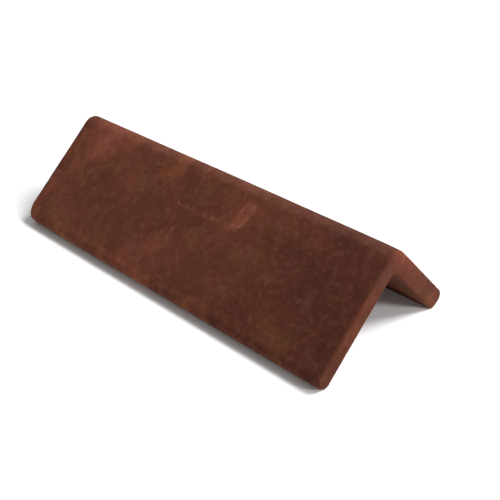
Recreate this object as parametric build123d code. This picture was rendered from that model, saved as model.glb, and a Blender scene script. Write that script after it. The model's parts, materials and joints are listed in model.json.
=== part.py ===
from build123d import *
import os
from math import cos, radians, sin, tan

# A clay angle ridge tile with one closed end, moulded and fired as one piece.
# X runs along the ridge, the feet stand on z = 0 and the ridge lies above the X axis.
# The +X end is open and butts against the next ridge tile. The stop closes the -X end.

# Driving dimensions, in millimetres and degrees
LENGTH = 450.0  # along the ridge, end to end
RIDGE_ANGLE = 93.0  # between the two wings
WING = 156.0  # outer slope, from the sharp ridge line to the sharp outer edge of the foot
WALL = 23.0  # thickness of the wings
STOP_WALL = 22.0  # thickness of the plate that closes the -X end
SOLE = 5.0  # flat strip along the inner edge of each foot, which the tile stands on
CUT_ANGLE = 28.0  # rise of each foot's cut, from the sole out to the slope
RIDGE_RADIUS = 16.0  # rounding along the outside of the ridge
INSIDE_RADIUS = 6.0  # cove under the ridge and where the stop joins the wings
FOOT_RADIUS = 10.0  # bull nose along the outer edge of each foot
ARRIS_RADIUS = 2.0  # easing of the end arrises and of the inner edges of the soles

# Sizes that follow from the driving dimensions
HALF_ANGLE = radians(RIDGE_ANGLE / 2)
CUT_RISE = radians(CUT_ANGLE)
CUT = (WALL - SOLE * cos(HALF_ANGLE)) / cos(HALF_ANGLE - CUT_RISE)  # from the sole to the sharp outer edge
NOSE_REACH = WING * sin(HALF_ANGLE)  # the sharp outer edge of each foot, across from the ridge
NOSE_RISE = CUT * sin(CUT_RISE)  # the sharp outer edge of each foot, above the sole
SOLE_REACH = NOSE_REACH - CUT * cos(CUT_RISE)  # where each sole meets the cut, across from the ridge
RIDGE_RISE = NOSE_RISE + WING * cos(HALF_ANGLE)  # height of the sharp outer ridge line
HOLLOW_RISE = RIDGE_RISE - WALL / sin(HALF_ANGLE)  # height of the sharp inner ridge line
STOP_FACE = STOP_WALL - LENGTH / 2  # where the inner face of the stop lies along X


def outer_block():
    """The outside of the tile as a full block, with its rounded ridge and bull-nosed feet"""
    one_side = [(SOLE_REACH, 0), (NOSE_REACH, NOSE_RISE), (0, RIDGE_RISE)]
    other_side = [(-NOSE_REACH, NOSE_RISE), (-SOLE_REACH, 0)]
    section = make_face(Polyline(*one_side, *other_side, close=True))
    section = fillet(section.vertices().sort_by(Axis.Y)[-1], RIDGE_RADIUS)
    across = section.vertices().sort_by(Axis.X)
    section = fillet([across[0], across[-1]], FOOT_RADIUS)
    return extrude(Plane.YZ * section, LENGTH / 2, both=True)


def hollow_core():
    """The space under the tile, coved at the ridge and the stop, and run out past the open faces"""
    reach = (HOLLOW_RISE + WALL) * tan(HALF_ANGLE)
    section = make_face(Polyline((-reach, -WALL), (0, HOLLOW_RISE), (reach, -WALL), close=True))
    core = extrude(Plane.YZ.offset(STOP_FACE) * section, LENGTH)
    ridge_line = core.edges().filter_by(Axis.X).sort_by(Axis.Z)[-1]
    stop_slopes = core.faces().sort_by(Axis.X)[0].edges().sort_by(Axis.Z)[1:]
    return fillet([ridge_line, *stop_slopes], INSIDE_RADIUS)


def ease_arrises(tile):
    """Round both end outlines and the inner edges of the soles"""
    stop_end, *_, open_end = tile.faces().sort_by(Axis.X)
    soles = tile.faces().sort_by(Axis.Z)[0]
    long_edges = soles.edges().filter_by(Axis.X).sort_by(Axis.Y)
    cut_lines = [long_edges[0], long_edges[-1]]
    arrises = stop_end.edges() + open_end.edges() + soles.edges() - cut_lines
    return fillet(arrises, ARRIS_RADIUS)


ridge_stop_end = ease_arrises(outer_block() - hollow_core())

os.makedirs("parts", exist_ok=True)
export_step(ridge_stop_end, "parts/ridge_stop_end.step")
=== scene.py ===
import json
from collections import namedtuple
from math import cos, radians, sin

import bmesh
import bpy
from bpy.props import FloatProperty, FloatVectorProperty, IntProperty, PointerProperty
from mathutils import Matrix, Vector


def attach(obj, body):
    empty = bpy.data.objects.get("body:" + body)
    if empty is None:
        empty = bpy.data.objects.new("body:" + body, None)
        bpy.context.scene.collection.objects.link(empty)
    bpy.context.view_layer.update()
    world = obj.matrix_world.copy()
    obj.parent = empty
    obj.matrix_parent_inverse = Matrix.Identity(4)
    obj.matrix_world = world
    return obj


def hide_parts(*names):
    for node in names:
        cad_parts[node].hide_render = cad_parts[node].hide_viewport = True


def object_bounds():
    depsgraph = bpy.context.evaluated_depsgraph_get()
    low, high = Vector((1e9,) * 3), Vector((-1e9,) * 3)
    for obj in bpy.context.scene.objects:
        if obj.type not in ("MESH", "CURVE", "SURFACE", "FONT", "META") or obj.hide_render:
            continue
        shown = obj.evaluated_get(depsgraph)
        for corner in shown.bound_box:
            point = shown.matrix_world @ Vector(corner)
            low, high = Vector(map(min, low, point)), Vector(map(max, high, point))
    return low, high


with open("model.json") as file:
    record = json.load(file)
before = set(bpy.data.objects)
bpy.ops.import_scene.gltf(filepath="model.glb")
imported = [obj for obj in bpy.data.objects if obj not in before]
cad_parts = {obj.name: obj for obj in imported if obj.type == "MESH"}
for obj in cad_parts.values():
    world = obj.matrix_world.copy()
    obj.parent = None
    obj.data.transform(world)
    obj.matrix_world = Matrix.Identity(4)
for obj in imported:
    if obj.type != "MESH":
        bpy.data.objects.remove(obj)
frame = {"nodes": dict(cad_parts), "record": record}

bl_info = {
    "name": "Ridge Stop End",
    "version": (1, 0, 0),
    "blender": (4, 5, 0),
    "location": "View3D > Sidebar > Ridge Tile",
    "description": "Dresses a clay ridge tile with one closed end and sets it on a pale floor",
    "category": "Object",
}

NODE = "ridge_stop_end"
SLOT = "fired_clay"
PIECE = "ridge_stop_end_tile"

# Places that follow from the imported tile, in metres
CAD_LOW, CAD_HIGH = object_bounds()
MOUNTS = {mount["name"]: mount for mount in frame["record"]["mounts"]}
NEAR_BED = MOUNTS["right_wing_bed"]  # the underside of the near wing
NEAR_NORMAL = -Vector(NEAR_BED["axis"])  # points out of the near slope
BED_OFFSET = Vector(NEAR_BED["pos_m"]).dot(NEAR_NORMAL)
SLOPE_OFFSET = max(point.co.dot(NEAR_NORMAL) for point in frame["nodes"][NODE].data.vertices)
RIDGE_LINE = SLOPE_OFFSET / NEAR_NORMAL.z  # height of the line where the two slopes would meet
NOSE_HEIGHT = 0.012  # middle of a foot's bull nose
OPEN_APEX = Vector((CAD_HIGH.x, 0.0, CAD_HIGH.z))
STOP_FOOT = Vector((CAD_LOW.x, CAD_LOW.y, NOSE_HEIGHT))

# Sizes of the wear, in metres
SAME_PLACE = 1e-6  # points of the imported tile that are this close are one
OUTER_ARRIS = 0.006  # how far the wear of an outer arris reaches
INNER_ARRIS = 0.005  # how far the wear reaches round the hollow at the open end
RIDGE_STRIP = (0.016, 0.010)  # half of the strip along the ridge, to its edge and to where it is full
WEAR_PATCH = 0.05  # across a patch of heavier or lighter wear
NICK_SIZE = 0.011
PIT_SPACING = 0.017
PIT_RADIUS = 0.0042
PIT_SHARE = 0.30  # of the places that could hold a pit
DRAG_LINE_GAP = 0.006
DRAG_LINE_STRETCH = (0.05, 1.0, 1.0)  # draws a pattern out along the tile
LEVEL_SOLES = (0.0005, 0.005)  # heights that the faces' wear starts at and is full at
DROOP_START = 0.02  # height that the ridge's droop starts at

# Sizes of the clay's patterns and places of its flashes, in metres
KILN_CLOUD = 0.11
RED_CLOUD = 0.055
TONE_CLOUD = 0.05
OLIVE_CLOUD = 0.032
MOTTLE_SIZE = 0.024
SMEAR_SIZE = 0.012
GRAIN_SIZE = 0.0055
SAND_SIZE = 0.0016
SPECK_SPACING = 0.007
SPECK_RADIUS = 0.0017
SPECK_SHARE = 0.25  # of the places that could hold a speck
DRAWN_DOWN = (1.0, 0.55, 0.55)  # draws a pattern out down the slopes
SHAKES_PER_METRE = 90.0  # of the strokes' uneven edges
SHAKE_REACH = 0.010
TO_OPEN_END = (0.02, 0.215)  # along the tile, where the kiln's darker end starts and is full
TO_STOP_END = (0.16, -0.20)  # along the tile, where the redder end starts and is full
STOP_FLASH = (-0.190, -0.223)  # along the tile
FOOT_FLASH = (0.026, 0.010)  # height
RIDGE_FLASH = (0.084, 0.098)  # height
RIDGE_FADE = (0.120, -0.080)  # along the tile, where the flashes of the ridge start and are full
HOLLOW_SHADE = (0.005, 0.045)  # height, where the painted shade inside the fold starts and is full
RELIEF = 0.0009  # height of the grain and sand

FLOOR_GAP = 0.0003  # between the soles and the floor, in metres
SENSOR_WIDTH = 36.0  # of the camera, in millimetres

# A corner that is rubbed away: its place, which way it gives, how far and over what reach
WornCorner = namedtuple("WornCorner", "place gives depth reach")
WORN_CORNERS = (
    WornCorner(OPEN_APEX, Vector((-0.7, 0.0, -0.7)), 0.0012, 0.022),
    WornCorner(STOP_FOOT, Vector((0.75, 0.65, 0.10)), 0.0034, 0.018),
)

# A rubbed or stained stroke on a wing: how far along the tile and down the slope it starts and ends
Stroke = namedtuple("Stroke", "along down to_along to_down width strength")
NEAR_SCUFFS = (
    Stroke(-0.029, 0.055, 0.012, 0.055, 0.0042, 0.36),
    Stroke(0.012, 0.055, 0.043, 0.053, 0.0040, 0.50),
    Stroke(0.043, 0.054, 0.055, 0.052, 0.0060, 0.48),
    Stroke(0.057, 0.049, 0.063, 0.036, 0.0034, 0.85),
    Stroke(0.063, 0.036, 0.062, 0.022, 0.0032, 0.70),
    Stroke(0.049, 0.043, 0.053, 0.029, 0.0034, 0.55),
    Stroke(-0.180, 0.049, -0.180, 0.022, 0.0034, 0.70),
    Stroke(-0.171, 0.041, -0.166, 0.033, 0.0030, 0.55),
    Stroke(-0.166, 0.033, -0.153, 0.036, 0.0028, 0.45),
    Stroke(-0.178, 0.034, -0.168, 0.012, 0.0130, 0.35),
    Stroke(-0.015, 0.109, -0.017, 0.082, 0.0022, 0.35),
    Stroke(-0.017, 0.082, -0.002, 0.047, 0.0020, 0.25),
    Stroke(0.100, 0.052, 0.130, 0.060, 0.0024, 0.25),
    Stroke(0.183, 0.130, 0.196, 0.112, 0.0022, 0.30),
)
FAR_SCUFFS = (
    Stroke(-0.120, 0.040, -0.070, 0.052, 0.0022, 0.45),
    Stroke(0.030, 0.070, 0.046, 0.034, 0.0026, 0.60),
    Stroke(0.120, 0.098, 0.176, 0.090, 0.0022, 0.35),
    Stroke(-0.175, 0.090, -0.160, 0.060, 0.0110, 0.35),
)
NEAR_BLOOMS = (
    Stroke(-0.176, 0.038, -0.168, 0.012, 0.0330, 0.95),
    Stroke(-0.190, 0.008, -0.140, 0.010, 0.0300, 0.80),
    Stroke(-0.130, 0.012, -0.050, 0.012, 0.0260, 0.18),
    Stroke(0.080, 0.026, 0.145, 0.028, 0.0220, 0.22),
    Stroke(0.130, 0.004, 0.190, 0.004, 0.0100, 0.22),
    Stroke(-0.216, 0.090, -0.214, 0.110, 0.0130, 0.85),
    Stroke(0.052, 0.046, 0.060, 0.026, 0.0130, 0.70),
    Stroke(-0.090, 0.146, -0.030, 0.147, 0.0110, 0.50),
    Stroke(-0.034, 0.117, -0.022, 0.108, 0.0100, 0.50),
)
FAR_BLOOMS = (
    Stroke(-0.200, 0.060, -0.150, 0.030, 0.0400, 0.70),
    Stroke(0.060, 0.120, 0.110, 0.130, 0.0240, 0.60),
    Stroke(0.225, 0.016, 0.225, 0.048, 0.0220, 0.60),
)
NEAR_STAINS = (
    Stroke(-0.077, 0.132, -0.026, 0.079, 0.0090, 0.55),
    Stroke(-0.140, 0.100, -0.125, 0.090, 0.0140, 0.50),
    Stroke(-0.124, 0.048, -0.110, 0.042, 0.0100, 0.40),
    Stroke(-0.014, 0.078, 0.000, 0.072, 0.0100, 0.45),
    Stroke(0.060, 0.130, 0.100, 0.122, 0.0120, 0.45),
    Stroke(0.188, 0.030, 0.218, 0.032, 0.0320, 0.95),
)
FAR_STAINS_AND_SHADE = (
    Stroke(-0.060, 0.120, -0.010, 0.096, 0.0110, 0.50),
    Stroke(0.090, 0.046, 0.110, 0.052, 0.0120, 0.45),
    # Painted shade: darkens the far wing's open end low down, towards the floor
    Stroke(0.225, 0.090, 0.225, 0.148, 0.0300, 0.55),
)


class TileShapeSettings(bpy.types.PropertyGroup):
    """Sizes of the unevenness and wear that hand work and handling leave on the tile"""

    face_size: FloatProperty(
        name="Face size", description="Spacing of the points that carry the worn surface",
        default=0.0015, min=0.001, subtype="DISTANCE", unit="LENGTH")
    thinning: FloatProperty(
        name="Thinning", description="Share of the faces kept once the surface is worn",
        default=0.52, min=0.1, max=1.0, subtype="FACTOR")
    waviness: FloatProperty(
        name="Waviness", description="How deep the slow hollows of the faces are",
        default=0.0007, min=0.0, subtype="DISTANCE", unit="LENGTH")
    wave_size: FloatProperty(
        name="Wave size", description="Distance across one slow hollow",
        default=0.085, min=0.01, subtype="DISTANCE", unit="LENGTH")
    arris_wear: FloatProperty(
        name="Arris wear", description="How far the arrises are rubbed round",
        default=0.22, min=0.0, max=1.0, subtype="FACTOR")
    chip_depth: FloatProperty(
        name="Chip depth", description="Depth of the nicks along the arrises",
        default=0.0008, min=0.0, subtype="DISTANCE", unit="LENGTH")
    pit_depth: FloatProperty(
        name="Pit depth", description="Depth of the small pits in the faces",
        default=0.0007, min=0.0, subtype="DISTANCE", unit="LENGTH")
    die_lines: FloatProperty(
        name="Die lines", description="Depth of the drag lines along the underside",
        default=0.0005, min=0.0, subtype="DISTANCE", unit="LENGTH")
    ridge_droop: FloatProperty(
        name="Ridge droop", description="How far the ridge sinks towards the open end",
        default=0.0008, min=0.0, subtype="DISTANCE", unit="LENGTH")
    seed: IntProperty(name="Seed", description="Picks the pattern of the wear", default=4)


class ClayFinishSettings(bpy.types.PropertyGroup):
    """Colours of the fired clay"""

    body: FloatVectorProperty(
        name="Body", description="Dark red-brown of the fired face",
        default=(0.1000, 0.0278, 0.0156), min=0.0, max=1.0, subtype="COLOR")
    kiln_dark: FloatVectorProperty(
        name="Kiln dark", description="Darker brown where the kiln fired hardest",
        default=(0.0700, 0.0190, 0.0109), min=0.0, max=1.0, subtype="COLOR")
    red_bloom: FloatVectorProperty(
        name="Red bloom", description="Redder clouds in the face",
        default=(0.2000, 0.0520, 0.0290), min=0.0, max=1.0, subtype="COLOR")
    olive: FloatVectorProperty(
        name="Olive", description="Olive brown mottles",
        default=(0.1130, 0.0440, 0.0165), min=0.0, max=1.0, subtype="COLOR")
    # This colour also carries the painted bounce light on the underside
    orange: FloatVectorProperty(
        name="Orange", description="Orange brown flashes by the ends, the feet and the ridge",
        default=(0.1900, 0.0580, 0.0190), min=0.0, max=1.0, subtype="COLOR")
    cut_face: FloatVectorProperty(
        name="Cut face", description="Bare clay of the cut ends and the rubbed arrises",
        default=(0.0800, 0.0200, 0.0088), min=0.0, max=1.0, subtype="COLOR")
    scuff: FloatVectorProperty(
        name="Scuff", description="Bright clay in the scuffs",
        default=(0.2230, 0.0800, 0.0480), min=0.0, max=1.0, subtype="COLOR")
    # On the ridge this colour is partly a painted sheen as well as dust
    dust: FloatVectorProperty(
        name="Dust", description="Pale clay dust on the ridge and in the grain",
        default=(0.2200, 0.1150, 0.0900), min=0.0, max=1.0, subtype="COLOR")
    speck: FloatVectorProperty(
        name="Speck", description="Dark iron specks",
        default=(0.0300, 0.0130, 0.0110), min=0.0, max=1.0, subtype="COLOR")


class StageSettings(bpy.types.PropertyGroup):
    """The pale floor, the soft light and the camera"""

    floor_size: FloatProperty(
        name="Floor size", description="Side of the square floor",
        default=30.0, subtype="DISTANCE", unit="LENGTH")
    floor_colour: FloatVectorProperty(
        name="Floor colour", description="Colour of the floor under the tile",
        default=(0.9, 0.9, 0.9), min=0.0, max=1.0, subtype="COLOR")
    floor_lift: FloatProperty(
        name="Floor lift", description="Light that the floor adds of its own where it is seen",
        default=0.02, min=0.0)
    sky: FloatProperty(
        name="Sky", description="Strength of the even light from all round",
        default=0.39, min=0.0)
    lamp: FloatProperty(
        name="Lamp", description="Strength of the soft lamp above and behind the tile",
        default=3.15, min=0.0)
    lamp_from: FloatVectorProperty(
        name="Lamp from", description="Direction that the lamp shines from",
        default=(0.46, 0.36, 0.81), subtype="DIRECTION")
    lamp_spread: FloatProperty(
        name="Lamp spread", description="Angle that the lamp fills, which softens its shadow",
        default=radians(24.0), subtype="ANGLE", unit="ROTATION")
    fill: FloatProperty(
        name="Fill", description="Strength of the weaker lamp beyond the open end",
        default=1.5, min=0.0)
    fill_from: FloatVectorProperty(
        name="Fill from", description="Direction that the weaker lamp shines from",
        default=(0.86, 0.12, 0.48), subtype="DIRECTION")
    fill_spread: FloatProperty(
        name="Fill spread", description="Angle that the weaker lamp fills",
        default=radians(14.0), subtype="ANGLE", unit="ROTATION")
    aim: FloatVectorProperty(
        name="Aim", description="Point in the middle of the picture",
        default=(0.03714, 0.00678, 0.02778), subtype="TRANSLATION", unit="LENGTH")
    azimuth: FloatProperty(
        name="Azimuth", description="Turn of the camera round the tile",
        default=radians(40.95), subtype="ANGLE", unit="ROTATION")
    elevation: FloatProperty(
        name="Elevation", description="Height of the camera above the horizon",
        default=radians(30.82), subtype="ANGLE", unit="ROTATION")
    roll: FloatProperty(
        name="Roll", description="Tilt of the camera about its own axis",
        default=radians(-2.64), subtype="ANGLE", unit="ROTATION")
    distance: FloatProperty(
        name="Distance", description="From the camera to the aim point",
        default=0.9195, subtype="DISTANCE", unit="LENGTH")
    lens: FloatProperty(
        name="Lens", description="Focal length on a 36 mm sensor",
        default=59.535, min=1.0, subtype="DISTANCE_CAMERA", unit="CAMERA")


class NodeSheet:
    """One node tree, with short calls that add nodes and join them"""

    def __init__(self, tree):
        self.tree = tree

    def feed(self, socket, value):
        """Join another node's socket to this one, or set a plain value on it"""
        if isinstance(value, bpy.types.NodeSocket):
            self.tree.links.new(value, socket)
        else:
            socket.default_value = value

    def add(self, kind, feeds=None, **settings):
        """A node of that kind, with its settings and inputs"""
        node = self.tree.nodes.new(kind)
        for name, value in settings.items():
            setattr(node, name, value)
        for key, value in (feeds or {}).items():
            self.feed(node.inputs[key], value)
        return node

    def maths(self, operation, *values):
        return self.add("ShaderNodeMath", dict(enumerate(values)), operation=operation).outputs[0]

    def fold(self, operation, result, *others):
        """One operation over all the values in turn"""
        for other in others:
            result = self.maths(operation, result, other)
        return result

    def product(self, *values):
        return self.fold("MULTIPLY", *values)

    def total(self, *values):
        return self.fold("ADD", *values)

    def strongest(self, *values):
        return self.fold("MAXIMUM", *values)

    def vectors(self, operation, *values):
        node = self.add("ShaderNodeVectorMath", dict(enumerate(values)), operation=operation)
        gives_number = operation in {"DOT_PRODUCT", "DISTANCE", "LENGTH"}
        return node.outputs["Value" if gives_number else "Vector"]

    def scaled(self, vector, share):
        feeds = {"Vector": vector, "Scale": share}
        return self.add("ShaderNodeVectorMath", feeds, operation="SCALE").outputs["Vector"]

    def split(self, vector):
        return self.add("ShaderNodeSeparateXYZ", {0: vector}).outputs

    def ramp(self, value, start, end):
        """0 up to start, 1 from end on and smooth between; start may be the higher"""
        feeds = {"Value": value, "From Min": start, "From Max": end}
        return self.add("ShaderNodeMapRange", feeds, interpolation_type="SMOOTHSTEP").outputs[0]

    def clouds(self, place, size, draw, detail=3.0, roughness=0.5, swirl=0.0):
        """Soft clouds about that size across, from 0 to 1; draw picks their pattern"""
        scale = self.maths("DIVIDE", 1.0, size) if isinstance(size, bpy.types.NodeSocket) else 1.0 / size
        feeds = {"Vector": place, "W": draw, "Scale": scale, "Detail": detail, "Roughness": roughness,
                 "Distortion": swirl}
        return self.add("ShaderNodeTexNoise", feeds, noise_dimensions="4D").outputs[0]

    def dots(self, place, spacing, radius, share):
        """Round dots on a scattered share of cells of that spacing, 1 in the middle of a dot"""
        cells = self.add("ShaderNodeTexVoronoi", {"Vector": place, "Scale": 1.0 / spacing})
        chosen = self.maths("LESS_THAN", self.split(cells.outputs["Color"])[0], share)
        return self.product(chosen, self.ramp(cells.outputs["Distance"], radius / spacing, 0.0))

    def between(self, share, low, high):
        """A number between low and high"""
        return self.add("ShaderNodeMix", {0: share, 2: low, 3: high}, data_type="FLOAT").outputs[0]

    def tint(self, share, under, over):
        """One colour laid over another"""
        feeds = {0: share, 6: opaque(under), 7: opaque(over)}
        return self.add("ShaderNodeMix", feeds, data_type="RGBA").outputs[2]


def opaque(colour):
    """A plain colour with its alpha, or a socket as it is"""
    return colour if isinstance(colour, bpy.types.NodeSocket) else (*colour, 1.0)


# The worn tile

TREE_INPUTS = (
    ("Waviness", "NodeSocketFloat"),
    ("Wave size", "NodeSocketFloat"),
    ("Arris wear", "NodeSocketFloat"),
    ("Chip depth", "NodeSocketFloat"),
    ("Pit depth", "NodeSocketFloat"),
    ("Die lines", "NodeSocketFloat"),
    ("Ridge droop", "NodeSocketFloat"),
    ("Seed", "NodeSocketInt"),
    ("Lowest corner", "NodeSocketVector"),
    ("Highest corner", "NodeSocketVector"),
    ("Finish", "NodeSocketMaterial"),
)


def blurred_place(sheet, rounds):
    """Each point's place averaged with its neighbours, that many times over"""
    place = sheet.add("GeometryNodeInputPosition").outputs[0]
    feeds = {"Value": place, "Iterations": rounds}
    return sheet.add("GeometryNodeBlurAttribute", feeds, data_type="FLOAT_VECTOR").outputs["Value"]


def keep_mask(sheet, mesh, name, value):
    """Store a mask on the points, for the later steps and the finish"""
    feeds = {"Geometry": mesh, "Name": name, "Value": value}
    node = sheet.add("GeometryNodeStoreNamedAttribute", feeds, data_type="FLOAT", domain="POINT")
    return node.outputs["Geometry"]


def kept_mask(sheet, name):
    return sheet.add("GeometryNodeInputNamedAttribute", {"Name": name}, data_type="FLOAT").outputs[0]


def close_to_both(sheet, first_gap, second_gap, reach):
    """1 on the arris where two faces meet, fading over its reach"""
    squares = [sheet.product(gap, gap) for gap in (first_gap, second_gap)]
    return sheet.ramp(sheet.maths("SQRT", sheet.total(*squares)), reach, 0.3 * reach)


def mark_faces(sheet, mesh):
    """Masks of the arrises, the ridge, the cut ends and the underside"""
    along, across, height = sheet.split(sheet.add("GeometryNodeInputPosition").outputs[0])
    facing = sheet.split(sheet.add("GeometryNodeInputNormal").outputs[0])
    outwards = sheet.maths("ABSOLUTE", across)
    level = sheet.total(sheet.product(outwards, -NEAR_NORMAL.y), sheet.product(height, NEAR_NORMAL.z))
    slope_gap = sheet.maths("SUBTRACT", SLOPE_OFFSET, level)
    bed_gap = sheet.maths("SUBTRACT", level, BED_OFFSET)
    end_gap = sheet.maths("SUBTRACT", CAD_HIGH.x, sheet.maths("ABSOLUTE", along))
    at_open_end = sheet.maths("GREATER_THAN", along, 0.0)
    top_arris = close_to_both(sheet, slope_gap, end_gap, OUTER_ARRIS)
    hollow_arris = sheet.product(at_open_end, close_to_both(sheet, bed_gap, end_gap, INNER_ARRIS))
    sole_arris = close_to_both(sheet, height, end_gap, OUTER_ARRIS)
    masks = {
        "arris": sheet.strongest(top_arris, hollow_arris, sole_arris),
        "ridge": sheet.product(sheet.ramp(facing[2], 0.74, 0.90), sheet.ramp(outwards, *RIDGE_STRIP)),
        "cut_end": sheet.ramp(sheet.maths("ABSOLUTE", facing[0]), 0.50, 0.80),
        "underside": sheet.ramp(facing[2], -0.2, -0.55),
    }
    for name, value in masks.items():
        mesh = keep_mask(sheet, mesh, name, value)
    return mesh


def wear_arrises(sheet, mesh, wear, seed):
    """Rub the arrises round, unevenly, and take the worn corners away"""
    place = sheet.add("GeometryNodeInputPosition").outputs[0]
    patches = sheet.ramp(sheet.clouds(place, WEAR_PATCH, seed), 0.35, 0.75)
    amount = sheet.product(kept_mask(sheet, "arris"), wear, sheet.between(patches, 0.5, 1.5))
    feeds = {0: sheet.maths("MINIMUM", amount, 1.0), 4: place, 5: blurred_place(sheet, 5)}
    rubbed = sheet.add("ShaderNodeMix", feeds, data_type="VECTOR").outputs[1]
    for corner in WORN_CORNERS:
        near = sheet.ramp(sheet.vectors("DISTANCE", place, corner.place), corner.reach, 0.0)
        given = sheet.scaled(corner.gives, sheet.product(near, corner.depth))
        rubbed = sheet.vectors("ADD", rubbed, given)
    return sheet.add("GeometryNodeSetPosition", {"Geometry": mesh, "Position": rubbed}).outputs[0]


def sink_faces(sheet, mesh, inputs):
    """Press the faces inwards: slow hollows, pits, nicked arrises and drag lines, with level soles"""
    place = sheet.add("GeometryNodeInputPosition").outputs[0]
    normal = sheet.add("GeometryNodeInputNormal").outputs[0]
    seed = inputs["Seed"]
    hollows = sheet.product(inputs["Waviness"], sheet.clouds(place, inputs["Wave size"], seed, 2.0))
    nicked = sheet.ramp(sheet.clouds(place, NICK_SIZE, seed, 2.0), 0.63, 0.78)
    nicks = sheet.product(inputs["Chip depth"], kept_mask(sheet, "arris"), nicked)
    pits = sheet.product(inputs["Pit depth"], sheet.dots(place, PIT_SPACING, PIT_RADIUS, PIT_SHARE))
    drawn_out = sheet.vectors("MULTIPLY", place, DRAG_LINE_STRETCH)
    dragged = sheet.clouds(drawn_out, DRAG_LINE_GAP, seed, 2.0)
    lines = sheet.product(inputs["Die lines"], kept_mask(sheet, "underside"), dragged)
    depth = sheet.total(lines, pits, nicks, hollows)
    off_floor = sheet.ramp(sheet.split(place)[2], *LEVEL_SOLES)
    inwards = sheet.scaled(normal, sheet.product(depth, off_floor, -1.0))
    return sheet.add("GeometryNodeSetPosition", {"Geometry": mesh, "Offset": inwards}).outputs[0]


def droop_ridge(sheet, mesh, droop):
    """Let the ridge sink towards the open end, and nothing at the feet"""
    along, _, height = sheet.split(sheet.add("GeometryNodeInputPosition").outputs[0])
    to_open_end = sheet.ramp(along, 0.0, CAD_HIGH.x)
    to_ridge = sheet.ramp(height, DROOP_START, CAD_HIGH.z)
    sunk = sheet.product(to_open_end, to_ridge, droop, -1.0)
    offset = sheet.add("ShaderNodeCombineXYZ", {"Z": sunk}).outputs[0]
    return sheet.add("GeometryNodeSetPosition", {"Geometry": mesh, "Offset": offset}).outputs[0]


def hold_in_box(sheet, mesh, low, high):
    """No point leaves the tile's own box"""
    place = sheet.add("GeometryNodeInputPosition").outputs[0]
    held = sheet.vectors("MINIMUM", sheet.vectors("MAXIMUM", place, low), high)
    return sheet.add("GeometryNodeSetPosition", {"Geometry": mesh, "Position": held}).outputs[0]


def worn_tile_tree():
    """Geometry nodes that turn the clean tile into a handled one"""
    tree = bpy.data.node_groups.new("worn_tile", "GeometryNodeTree")
    tree.interface.new_socket("Geometry", in_out="INPUT", socket_type="NodeSocketGeometry")
    tree.interface.new_socket("Geometry", in_out="OUTPUT", socket_type="NodeSocketGeometry")
    for name, kind in TREE_INPUTS:
        tree.interface.new_socket(name, in_out="INPUT", socket_type=kind)
    sheet = NodeSheet(tree)
    inputs = sheet.add("NodeGroupInput").outputs
    mesh = mark_faces(sheet, inputs["Geometry"])
    mesh = wear_arrises(sheet, mesh, inputs["Arris wear"], inputs["Seed"])
    mesh = sink_faces(sheet, mesh, inputs)
    mesh = droop_ridge(sheet, mesh, inputs["Ridge droop"])
    mesh = hold_in_box(sheet, mesh, inputs["Lowest corner"], inputs["Highest corner"])
    mesh = sheet.add("GeometryNodeSetShadeSmooth", {"Geometry": mesh}).outputs[0]
    mesh = sheet.add("GeometryNodeRealizeInstances", {"Geometry": mesh}).outputs[0]
    mesh = sheet.add("GeometryNodeSetMaterial", {"Geometry": mesh, "Material": inputs["Finish"]}).outputs[0]
    sheet.add("NodeGroupOutput", {"Geometry": mesh})
    return tree


def set_tree_inputs(modifier, values):
    """Give the tree's inputs their values through each socket's identifier"""
    for item in modifier.node_group.interface.items_tree:
        if item.in_out == "INPUT" and item.name in values:
            modifier[item.identifier] = values[item.name]


def clean_tile():
    """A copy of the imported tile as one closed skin"""
    mesh = frame["nodes"][NODE].data.copy()
    mesh.name = PIECE
    skin = bmesh.new()
    skin.from_mesh(mesh)
    bmesh.ops.remove_doubles(skin, verts=skin.verts, dist=SAME_PLACE)
    if any(not edge.is_manifold for edge in skin.edges):
        raise RuntimeError("the packed tile isn't a closed skin")
    skin.to_mesh(mesh)
    skin.free()
    tile = bpy.data.objects.new(PIECE, mesh)
    bpy.context.scene.collection.objects.link(tile)
    return tile


def worn_tile(shape, finish):
    """The tile with its wear, as a plain mesh"""
    tile = clean_tile()
    even = tile.modifiers.new("even_faces", "REMESH")
    even.mode = "VOXEL"
    even.voxel_size = shape.face_size
    worn = tile.modifiers.new("worn_tile", "NODES")
    worn.node_group = worn_tile_tree()
    set_tree_inputs(worn, {
        "Waviness": shape.waviness,
        "Wave size": shape.wave_size,
        "Arris wear": shape.arris_wear,
        "Chip depth": shape.chip_depth,
        "Pit depth": shape.pit_depth,
        "Die lines": shape.die_lines,
        "Ridge droop": shape.ridge_droop,
        "Seed": shape.seed,
        "Lowest corner": tuple(CAD_LOW),
        "Highest corner": tuple(CAD_HIGH),
        "Finish": finish,
    })
    thin = tile.modifiers.new("thinned_faces", "DECIMATE")
    thin.ratio = shape.thinning
    seen = tile.evaluated_get(bpy.context.evaluated_depsgraph_get())
    mesh = bpy.data.meshes.new_from_object(seen)
    tile.modifiers.clear()
    old = tile.data
    tile.data = mesh
    bpy.data.meshes.remove(old)
    mesh.name = PIECE
    return tile


# The fired clay

def on_slope(side, along, down):
    """A place on the outer face of a wing; side is -1 for the near wing and 1 for the far one"""
    return Vector((along, side * NEAR_NORMAL.z * down, RIDGE_LINE + NEAR_NORMAL.y * down))


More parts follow.
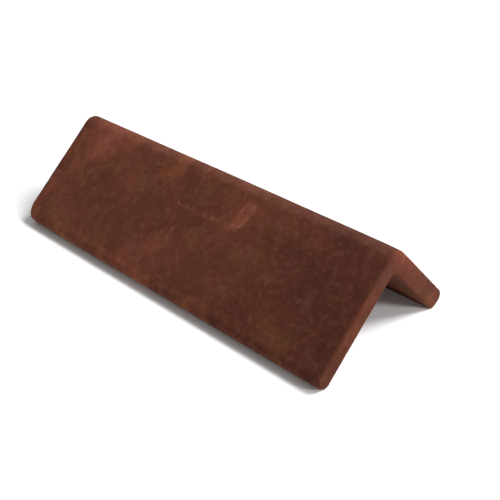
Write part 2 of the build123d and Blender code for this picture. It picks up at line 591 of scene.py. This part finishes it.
def stroke_tree():
    """Shader group: 1 along a straight stroke between two places, fading over its width"""
    tree = bpy.data.node_groups.new("clay_stroke", "ShaderNodeTree")
    for name, kind in (("Place", "NodeSocketVector"), ("Start", "NodeSocketVector"),
                       ("Run", "NodeSocketVector"), ("Width", "NodeSocketFloat")):
        tree.interface.new_socket(name, in_out="INPUT", socket_type=kind)
    tree.interface.new_socket("Mask", in_out="OUTPUT", socket_type="NodeSocketFloat")
    sheet = NodeSheet(tree)
    inputs = sheet.add("NodeGroupInput").outputs
    from_start = sheet.vectors("SUBTRACT", inputs["Place"], inputs["Start"])
    travelled = sheet.maths("DIVIDE", sheet.vectors("DOT_PRODUCT", from_start, inputs["Run"]),
                            sheet.vectors("DOT_PRODUCT", inputs["Run"], inputs["Run"]))
    on_run = sheet.maths("MINIMUM", sheet.maths("MAXIMUM", travelled, 0.0), 1.0)
    gap = sheet.vectors("DISTANCE", from_start, sheet.scaled(inputs["Run"], on_run))
    mask = sheet.ramp(sheet.maths("DIVIDE", gap, inputs["Width"]), 1.0, 0.1)
    sheet.add("NodeGroupOutput", {"Mask": mask})
    return tree


def strokes(sheet, place, tree, near, far):
    """The strongest of all the strokes at each place"""
    masks = []
    for side, marks in ((-1, near), (1, far)):
        for mark in marks:
            start = on_slope(side, mark.along, mark.down)
            run = on_slope(side, mark.to_along, mark.to_down) - start
            feeds = {"Place": place, "Start": start, "Run": run, "Width": mark.width}
            drawn = sheet.add("ShaderNodeGroup", feeds, node_tree=tree).outputs["Mask"]
            masks.append(sheet.product(drawn, mark.strength))
    return sheet.strongest(*masks)


# What the layers of the clay share: places, masks of the faces and the two patterns seen in most of them
ClayMap = namedtuple("ClayMap", "place drawn_down along height to_open_end mottle grain "
                                "arris ridge cut_end underside")


def clay_map(sheet):
    """Places, masks and patterns for the layers of the clay"""
    place = sheet.add("ShaderNodeTexCoord").outputs["Object"]
    along, _, height = sheet.split(place)
    drawn_down = sheet.vectors("MULTIPLY", place, DRAWN_DOWN)
    masks = {
        name: sheet.add("ShaderNodeAttribute", attribute_name=name).outputs["Fac"]
        for name in ("arris", "ridge", "cut_end", "underside")
    }
    return ClayMap(
        place=place, drawn_down=drawn_down, along=along, height=height,
        to_open_end=sheet.ramp(along, *TO_OPEN_END),
        mottle=sheet.clouds(drawn_down, MOTTLE_SIZE, 2.0, 6.0, 0.66, 0.4),
        grain=sheet.clouds(place, GRAIN_SIZE, 3.0, 4.0, 0.62), **masks)


def kiln_shades(sheet, clay, finish):
    """The fired body: darker towards the open end, with red and olive clouds"""
    broad = sheet.ramp(sheet.clouds(clay.place, KILN_CLOUD, 1.0), 0.40, 0.68)
    shade = sheet.total(sheet.product(clay.to_open_end, 0.95), sheet.product(broad, 0.30))
    colour = sheet.tint(shade, finish.body, finish.kiln_dark)
    red = sheet.ramp(sheet.clouds(clay.place, RED_CLOUD, 5.0, 4.0, 0.5, 0.8), 0.48, 0.66)
    red = sheet.product(red, sheet.ramp(clay.along, *TO_STOP_END), 0.36)
    colour = sheet.tint(red, colour, finish.red_bloom)
    olive = sheet.ramp(sheet.clouds(clay.place, OLIVE_CLOUD, 6.0, 4.0, 0.5, 0.8), 0.53, 0.66)
    return sheet.tint(sheet.product(olive, 0.5), colour, finish.olive)


def bare_and_flashed(sheet, clay, colour, finish):
    """Bare clay on the cut ends and arrises, orange flashes by the ends, the feet and the ridge, and a
    painted bounce light that tints the underside orange
    """
    bare = sheet.strongest(sheet.product(clay.cut_end, 0.95), sheet.product(clay.arris, 0.3))
    colour = sheet.tint(bare, colour, finish.cut_face)
    by_stop = sheet.product(sheet.ramp(clay.along, *STOP_FLASH), sheet.between(clay.cut_end, 1.0, 0.4))
    by_foot = sheet.product(sheet.ramp(clay.height, *FOOT_FLASH), sheet.between(clay.to_open_end, 1.0, 0.3))
    by_ridge = sheet.ramp(clay.height, *RIDGE_FLASH)
    by_ridge = sheet.product(by_ridge, sheet.ramp(clay.along, *RIDGE_FADE), 0.7)
    by_end = sheet.product(clay.cut_end, 0.4)
    flashed = sheet.strongest(by_ridge, by_end, by_stop, by_foot)
    flashed = sheet.product(flashed, sheet.ramp(clay.mottle, 0.44, 0.64), 0.7)
    colour = sheet.tint(flashed, colour, finish.orange)
    # Painted light: the underside is tinted a lighter orange, standing in for light thrown up from the
    # floor
    return sheet.tint(sheet.product(clay.underside, 0.35), colour, finish.orange)


def handling_marks(sheet, clay, colour, finish):
    """Red blooms, dark staining with one painted shade, and bright scuffs along their strokes, with shaken
    edges
    """
    feeds = {"Vector": clay.place, "Scale": SHAKES_PER_METRE, "Detail": 2.0}
    shaken = sheet.add("ShaderNodeTexNoise", feeds).outputs["Color"]
    drift = sheet.scaled(sheet.vectors("SUBTRACT", shaken, (0.5, 0.5, 0.5)), SHAKE_REACH)
    place = sheet.vectors("ADD", clay.place, drift)
    tree = stroke_tree()
    blooms = strokes(sheet, place, tree, NEAR_BLOOMS, FAR_BLOOMS)
    blooms = sheet.product(blooms, sheet.between(clay.mottle, 0.3, 1.4))
    colour = sheet.tint(blooms, colour, finish.red_bloom)
    stains_and_shade = strokes(sheet, place, tree, NEAR_STAINS, FAR_STAINS_AND_SHADE)
    colour = sheet.tint(stains_and_shade, colour, finish.kiln_dark)
    scuffs = strokes(sheet, place, tree, NEAR_SCUFFS, FAR_SCUFFS)
    scuffs = sheet.product(scuffs, sheet.ramp(clay.grain, 0.25, 0.65))
    return sheet.tint(scuffs, colour, finish.scuff)


def mottled_and_dusty(sheet, clay, colour, finish):
    """Light and dark mottles, a painted shade inside the fold, clay dust with a painted sheen on the ridge,
    and iron specks over everything
    """
    slow = sheet.between(sheet.clouds(clay.place, TONE_CLOUD, 9.0, 2.0), -0.20, 0.20)
    tone = sheet.total(sheet.between(clay.mottle, 0.56, 1.33), sheet.between(clay.grain, -0.25, 0.20), slow)
    # Painted shade: the underside darkens above the feet towards the top of the fold, and carries less dust
    # there
    hollow = sheet.product(clay.underside, sheet.ramp(clay.height, *HOLLOW_SHADE))
    colour = sheet.scaled(colour, sheet.product(tone, sheet.between(hollow, 1.0, 0.74)))
    smears = sheet.ramp(sheet.clouds(clay.drawn_down, SMEAR_SIZE, 7.0, 5.0, 0.65, 0.4), 0.50, 0.74)
    grains = sheet.ramp(clay.grain, 0.46, 0.70)
    powder = sheet.total(sheet.product(smears, 0.08), sheet.product(grains, 0.11))
    powder = sheet.product(powder, sheet.between(clay.cut_end, 1.0, 0.35), sheet.between(hollow, 1.0, 0.25))
    # Pale dust on the ridge strip, partly a painted sheen where the ridge catches the light
    ridge_dust_and_sheen = sheet.product(clay.ridge, sheet.between(clay.mottle, -0.05, 0.20))
    colour = sheet.tint(sheet.total(powder, ridge_dust_and_sheen), colour, finish.dust)
    specks = sheet.dots(clay.place, SPECK_SPACING, SPECK_RADIUS, SPECK_SHARE)
    return sheet.tint(sheet.product(specks, 0.6), colour, finish.speck)


def fired_clay(finish):
    """The material of the whole tile"""
    material = bpy.data.materials.new(SLOT)
    material.use_nodes = True
    sheet = NodeSheet(material.node_tree)
    clay = clay_map(sheet)
    colour = kiln_shades(sheet, clay, finish)
    for layer in (bare_and_flashed, handling_marks, mottled_and_dusty):
        colour = layer(sheet, clay, colour, finish)
    shader = material.node_tree.nodes["Principled BSDF"]
    sheet.feed(shader.inputs["Base Color"], colour)
    shader.inputs["Specular IOR Level"].default_value = 0.09
    sheet.feed(shader.inputs["Roughness"], sheet.between(clay.mottle, 0.92, 0.72))
    sand = sheet.clouds(clay.place, SAND_SIZE, 8.0, 2.0)
    height = sheet.total(sheet.product(clay.grain, 0.6), sheet.product(sand, 0.4))
    bump = sheet.add("ShaderNodeBump", {"Height": height, "Strength": 0.5, "Distance": RELIEF})
    sheet.feed(shader.inputs["Normal"], bump.outputs[0])
    return material


# The stage

def seen_directly(sheet):
    """1 for rays from the camera, also by way of gloss or glass"""
    rays = sheet.add("ShaderNodeLightPath").outputs
    return sheet.strongest(rays["Is Camera Ray"], rays["Is Glossy Ray"], rays["Is Transmission Ray"])


def pale_floor(stage):
    """A plain floor just under the feet, clear from below"""
    half = stage.floor_size / 2
    level = CAD_LOW.z - FLOOR_GAP
    mesh = bpy.data.meshes.new("floor")
    corners = [(-half, -half, level), (half, -half, level), (half, half, level), (-half, half, level)]
    mesh.from_pydata(corners, [], [(0, 1, 2, 3)])
    floor = bpy.data.objects.new("floor", mesh)
    bpy.context.scene.collection.objects.link(floor)
    material = bpy.data.materials.new("pale_floor")
    material.use_nodes = True
    sheet = NodeSheet(material.node_tree)
    shader = material.node_tree.nodes["Principled BSDF"]
    shader.inputs["Base Color"].default_value = opaque(stage.floor_colour)
    shader.inputs["Roughness"].default_value = 1.0
    shader.inputs["Specular IOR Level"].default_value = 0.0
    shader.inputs["Emission Color"].default_value = (1.0, 1.0, 1.0, 1.0)
    sheet.feed(shader.inputs["Emission Strength"], sheet.product(seen_directly(sheet), stage.floor_lift))
    from_below = sheet.add("ShaderNodeNewGeometry").outputs["Backfacing"]
    clear = sheet.add("ShaderNodeBsdfTransparent").outputs[0]
    both = sheet.add("ShaderNodeMixShader", {0: from_below, 1: shader.outputs[0], 2: clear})
    sheet.feed(material.node_tree.nodes["Material Output"].inputs["Surface"], both.outputs[0])
    mesh.materials.append(material)


def even_sky(stage):
    """Even light from all round, and a white surround where it is seen"""
    world = bpy.data.worlds.new("studio_surround")
    world.use_nodes = True
    sheet = NodeSheet(world.node_tree)
    surround = world.node_tree.nodes["Background"]
    surround.inputs["Color"].default_value = (1.0, 1.0, 1.0, 1.0)
    sheet.feed(surround.inputs["Strength"], sheet.between(seen_directly(sheet), stage.sky, 1.0))
    bpy.context.scene.world = world


def soft_lamp(name, strength, shines_from, spread):
    """A lamp far off that shines from that direction"""
    light = bpy.data.lights.new(name, "SUN")
    light.energy = strength
    light.angle = spread
    lamp = bpy.data.objects.new(name, light)
    lamp.rotation_mode = "QUATERNION"
    lamp.rotation_quaternion = Vector(shines_from).to_track_quat("Z", "Y")
    bpy.context.scene.collection.objects.link(lamp)


def photo_camera(stage):
    """The camera at the photograph's viewing angle"""
    turn, rise = stage.azimuth, stage.elevation
    back = Vector((sin(turn) * cos(rise), -cos(turn) * cos(rise), sin(rise)))
    level = Vector((cos(turn), sin(turn), 0.0))
    upright = back.cross(level)
    right = level * cos(stage.roll) - upright * sin(stage.roll)
    up = level * sin(stage.roll) + upright * cos(stage.roll)
    data = bpy.data.cameras.new("camera")
    data.sensor_width = SENSOR_WIDTH
    data.lens = stage.lens
    data.clip_start = 0.01
    data.clip_end = 100.0
    camera = bpy.data.objects.new("camera", data)
    turned = Matrix((right, up, back)).transposed().to_4x4()
    camera.matrix_world = Matrix.Translation(Vector(stage.aim) + back * stage.distance) @ turned
    bpy.context.scene.collection.objects.link(camera)
    bpy.context.scene.camera = camera


class RIDGETILE_OT_make_tile(bpy.types.Operator):
    """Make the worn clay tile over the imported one"""

    bl_idname = "ridge_tile.make_tile"
    bl_label = "Make Tile"

    def execute(self, context):
        scene = context.scene
        tile = worn_tile(scene.ridge_tile_shape, fired_clay(scene.ridge_tile_finish))
        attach(tile, "root")
        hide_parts(NODE)
        return {"FINISHED"}


class RIDGETILE_OT_set_stage(bpy.types.Operator):
    """Set the floor, the light and the camera"""

    bl_idname = "ridge_tile.set_stage"
    bl_label = "Set Stage"

    def execute(self, context):
        stage = context.scene.ridge_tile_stage
        pale_floor(stage)
        even_sky(stage)
        soft_lamp("lamp_behind", stage.lamp, stage.lamp_from, stage.lamp_spread)
        soft_lamp("lamp_beyond_open_end", stage.fill, stage.fill_from, stage.fill_spread)
        photo_camera(stage)
        context.scene.view_settings.view_transform = "Standard"
        return {"FINISHED"}


class RIDGETILE_PT_sidebar(bpy.types.Panel):
    """Sizes, colours and steps of the ridge tile"""

    bl_idname = "RIDGETILE_PT_sidebar"
    bl_label = "Ridge Tile"
    bl_space_type = "VIEW_3D"
    bl_region_type = "UI"
    bl_category = "Ridge Tile"

    def draw(self, context):
        scene = context.scene
        for group in (scene.ridge_tile_shape, scene.ridge_tile_finish, scene.ridge_tile_stage):
            box = self.layout.box()
            for name in group.bl_rna.properties.keys():
                if name not in {"rna_type", "name"}:
                    box.prop(group, name)
        self.layout.operator(RIDGETILE_OT_make_tile.bl_idname)
        self.layout.operator(RIDGETILE_OT_set_stage.bl_idname)


SETTINGS = {
    "ridge_tile_shape": TileShapeSettings,
    "ridge_tile_finish": ClayFinishSettings,
    "ridge_tile_stage": StageSettings,
}
CLASSES = (*SETTINGS.values(), RIDGETILE_OT_make_tile, RIDGETILE_OT_set_stage, RIDGETILE_PT_sidebar)


def register():
    for cls in CLASSES:
        bpy.utils.register_class(cls)
    for name, cls in SETTINGS.items():
        setattr(bpy.types.Scene, name, PointerProperty(type=cls))


def unregister():
    for name in SETTINGS:
        delattr(bpy.types.Scene, name)
    for cls in reversed(CLASSES):
        bpy.utils.unregister_class(cls)


def main():
    register()
    bpy.ops.ridge_tile.make_tile()
    bpy.ops.ridge_tile.set_stage()


if __name__ == "__main__":
    main()
